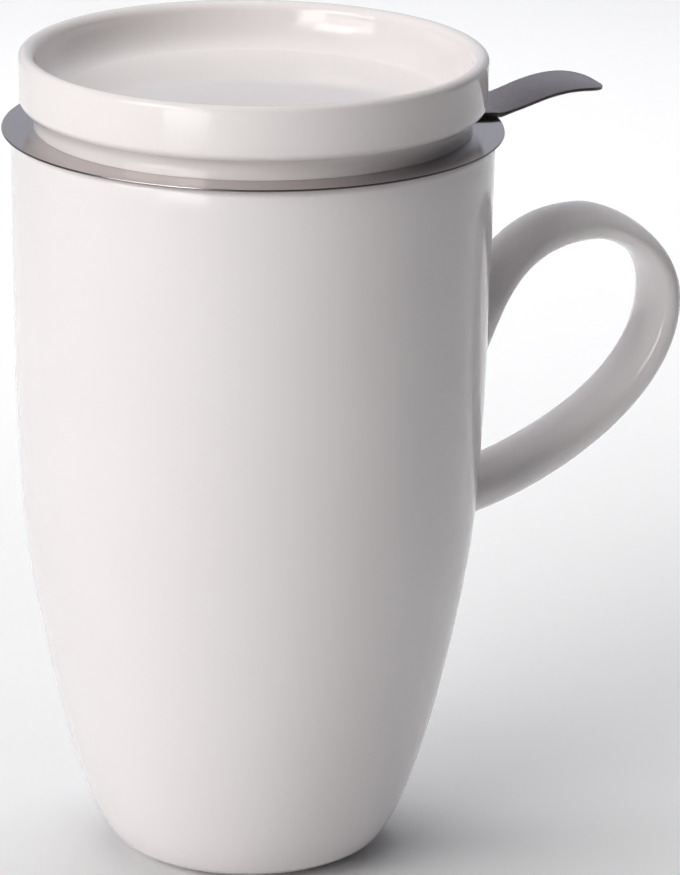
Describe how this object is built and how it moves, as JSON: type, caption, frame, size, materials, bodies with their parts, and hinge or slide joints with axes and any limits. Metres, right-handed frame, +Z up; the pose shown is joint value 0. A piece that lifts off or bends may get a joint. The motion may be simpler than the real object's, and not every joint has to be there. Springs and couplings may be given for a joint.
{
  "type": "lidded tea mug with infuser",
  "caption": "Tall glazed porcelain tea mug with a looped handle, a loose dish-shaped lid and a lift-out slotted steel infuser with a lifting tab.",
  "frame": {"origin": "centre of the foot ring, on the surface the mug stands on", "axes": "+Z up along the mug's axis; +X from the mug's axis through the handle and the infuser's lifting tab"},
  "size_m": [0.1273, 0.0894, 0.1493],
  "materials": {
    "porcelain": "clear glossy glaze over white porcelain",
    "lid_porcelain": "clear glossy glaze over white porcelain",
    "polished_steel": "polished stainless steel",
    "slotted_steel": "bright rolled stainless sheet",
    "satin_steel": "fine satin stainless steel"
  },
  "bodies": {
    "mug": {"mug_body": "porcelain", "mug_handle": "porcelain"},
    "infuser": {"infuser_rim": "polished_steel", "infuser_wall": "slotted_steel", "infuser_base_ring": "polished_steel", "infuser_base_screen": "slotted_steel", "infuser_tab": "satin_steel"},
    "lid": {"lid": "lid_porcelain"}
  },
  "joints": [
    {"name": "infuser_lift", "type": "slide", "parent": "mug", "child": "infuser", "axis": [0, 0, 1], "range_m": [0, 0.09]},
    {"name": "lid_lift", "type": "slide", "parent": "infuser", "child": "lid", "axis": [0, 0, 1], "range_m": [0, 0.04]}
  ]
}
